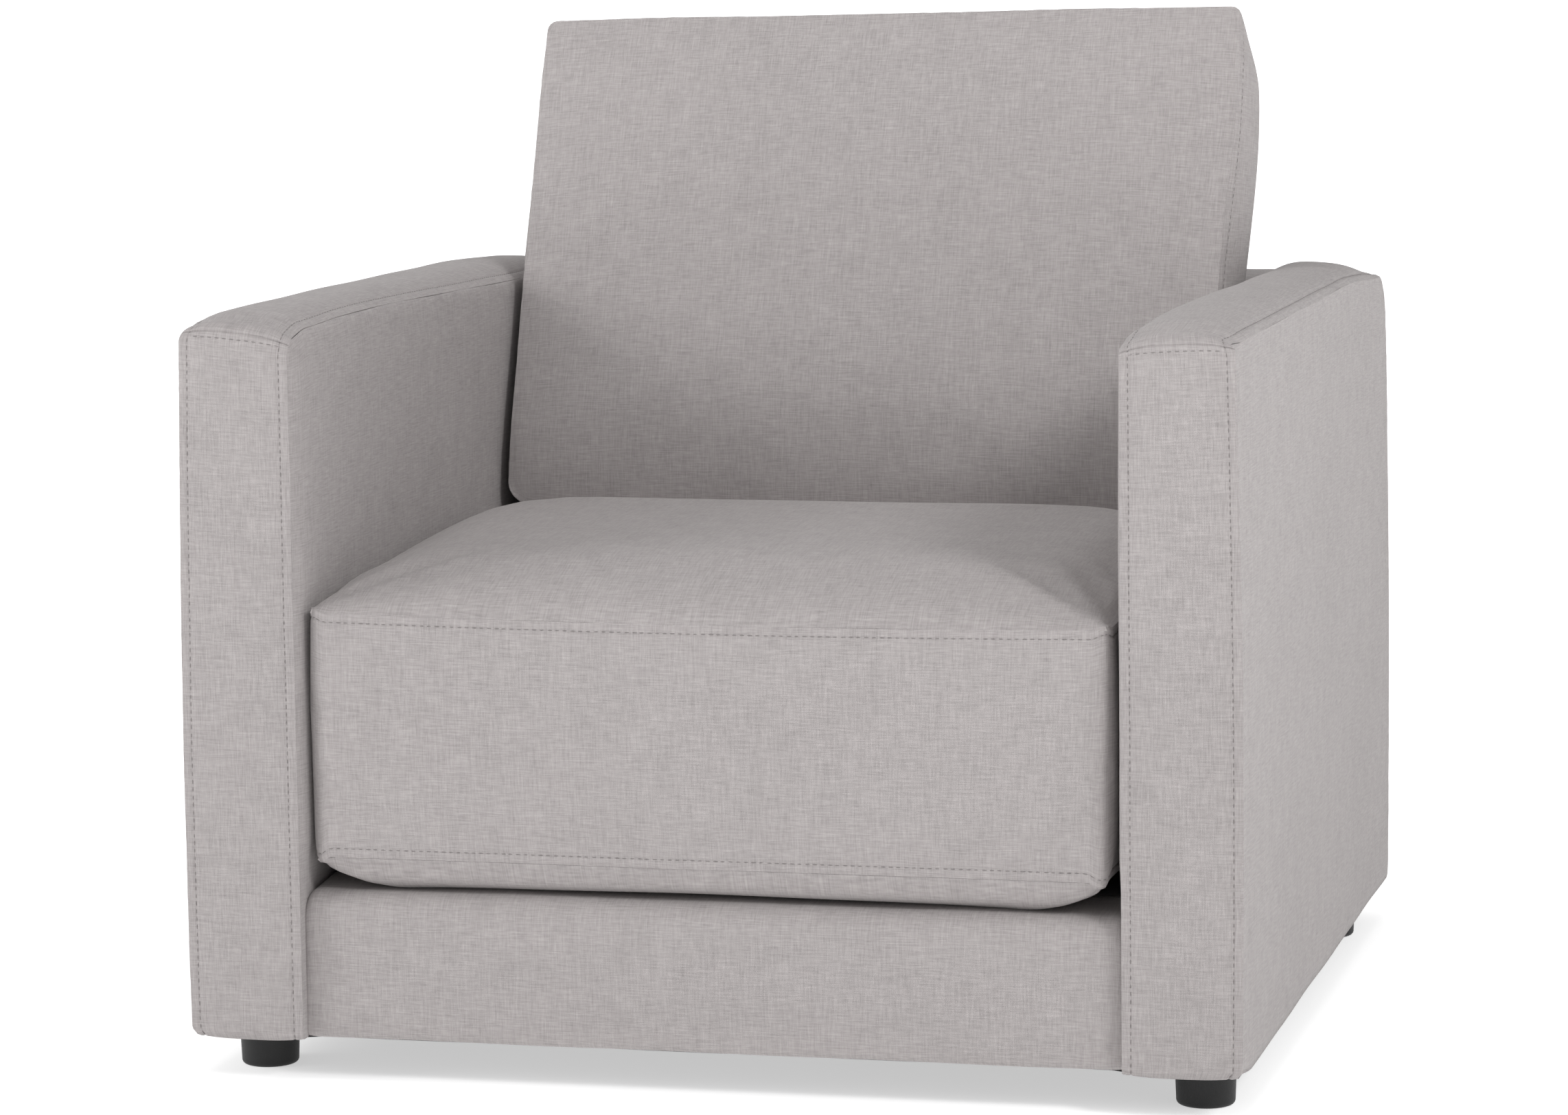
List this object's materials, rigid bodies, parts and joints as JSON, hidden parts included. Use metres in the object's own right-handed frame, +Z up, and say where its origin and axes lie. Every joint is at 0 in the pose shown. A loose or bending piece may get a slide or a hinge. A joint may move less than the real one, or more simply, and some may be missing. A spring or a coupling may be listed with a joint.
{
  "type": "upholstered armchair",
  "caption": "Armchair with straight padded arms, a loose box seat cushion, a leaning box back cushion, a recessed front rail and low round plastic feet.",
  "frame": {"origin": "on the floor under the centre of the chair's plan", "axes": "+Z up, the chair faces -Y, +X is the sitter's left"},
  "size_m": [0.9, 0.9, 0.8849],
  "materials": {
    "upholstery_cloth": "matte",
    "foam": "matte",
    "fibre": "matte",
    "timber": "matte",
    "board": "matte",
    "webbing": "matte",
    "deck_cloth": "matte",
    "dust_cloth": "matte",
    "zip_tape": "matte",
    "zip_metal": "satin",
    "spring_steel": "satin",
    "fastener_steel": "satin",
    "foot_plastic": "matte"
  },
  "bodies": {
    "frame": {"arm_bolts": "fastener_steel", "arm_tee_nuts": "fastener_steel", "back_foam": "foam", "back_inner_cover": "upholstery_cloth", "back_lower_rail": "timber", "back_outer_board": "board", "back_outer_cover": "upholstery_cloth", "back_top_rail": "timber", "back_webbing": "webbing", "corner_blocks": "timber", "deck_cloth": "deck_cloth", "deck_foam": "foam", "dust_cover": "dust_cloth", "foot_front_left": "foot_plastic", "foot_front_right": "foot_plastic", "foot_rear_left": "foot_plastic", "foot_rear_right": "foot_plastic", "foot_screws": "fastener_steel", "front_rail_cover": "upholstery_cloth", "front_rail_foam": "foam", "front_seat_rail": "timber", "left_arm_bottom_rail": "timber", "left_arm_boxing": "upholstery_cloth", "left_arm_edge_foam": "foam", "left_arm_front_post": "timber", "left_arm_inner_board": "board", "left_arm_inner_cover": "upholstery_cloth", "left_arm_inner_foam": "foam", "left_arm_outer_board": "board", "left_arm_outer_cover": "upholstery_cloth", "left_arm_rear_post": "timber", "left_arm_top_rail": "timber", "left_back_panel": "board", "left_side_rail": "timber", "rear_base_rail": "timber", "right_arm_bottom_rail": "timber", "right_arm_boxing": "upholstery_cloth", "right_arm_edge_foam": "foam", "right_arm_front_post": "timber", "right_arm_inner_board": "board", "right_arm_inner_cover": "upholstery_cloth", "right_arm_inner_foam": "foam", "right_arm_outer_board": "board", "right_arm_outer_cover": "upholstery_cloth", "right_arm_rear_post": "timber", "right_arm_top_rail": "timber", "right_back_panel": "board", "right_side_rail": "timber", "seat_springs": "spring_steel", "spring_clips": "spring_steel", "spring_rail": "timber"},
    "seat_cushion": {"seat_cushion_cover": "upholstery_cloth", "seat_cushion_fibre": "fibre", "seat_cushion_foam": "foam", "seat_cushion_zip": "zip_tape"},
    "back_cushion": {"back_cushion_cover": "upholstery_cloth", "back_cushion_fill": "fibre", "back_cushion_zip": "zip_tape"},
    "seat_zip_slider": {"seat_cushion_zip_slider": "zip_metal"},
    "back_zip_slider": {"back_cushion_zip_slider": "zip_metal"}
  },
  "joints": [
    {"name": "seat_cushion_slide", "type": "slide", "parent": "frame", "child": "seat_cushion", "axis": [0, -1, 0], "range_m": [0, 0.75]},
    {"name": "back_cushion_lift", "type": "slide", "parent": "frame", "child": "back_cushion", "axis": [0, 0, 1], "range_m": [0, 0.3]},
    {"name": "seat_zip_pull", "type": "slide", "parent": "seat_cushion", "child": "seat_zip_slider", "axis": [-1, 0, 0], "range_m": [0, 0.48]},
    {"name": "back_zip_pull", "type": "slide", "parent": "back_cushion", "child": "back_zip_slider", "axis": [-1, 0, 0], "range_m": [0, 0.48]}
  ]
}
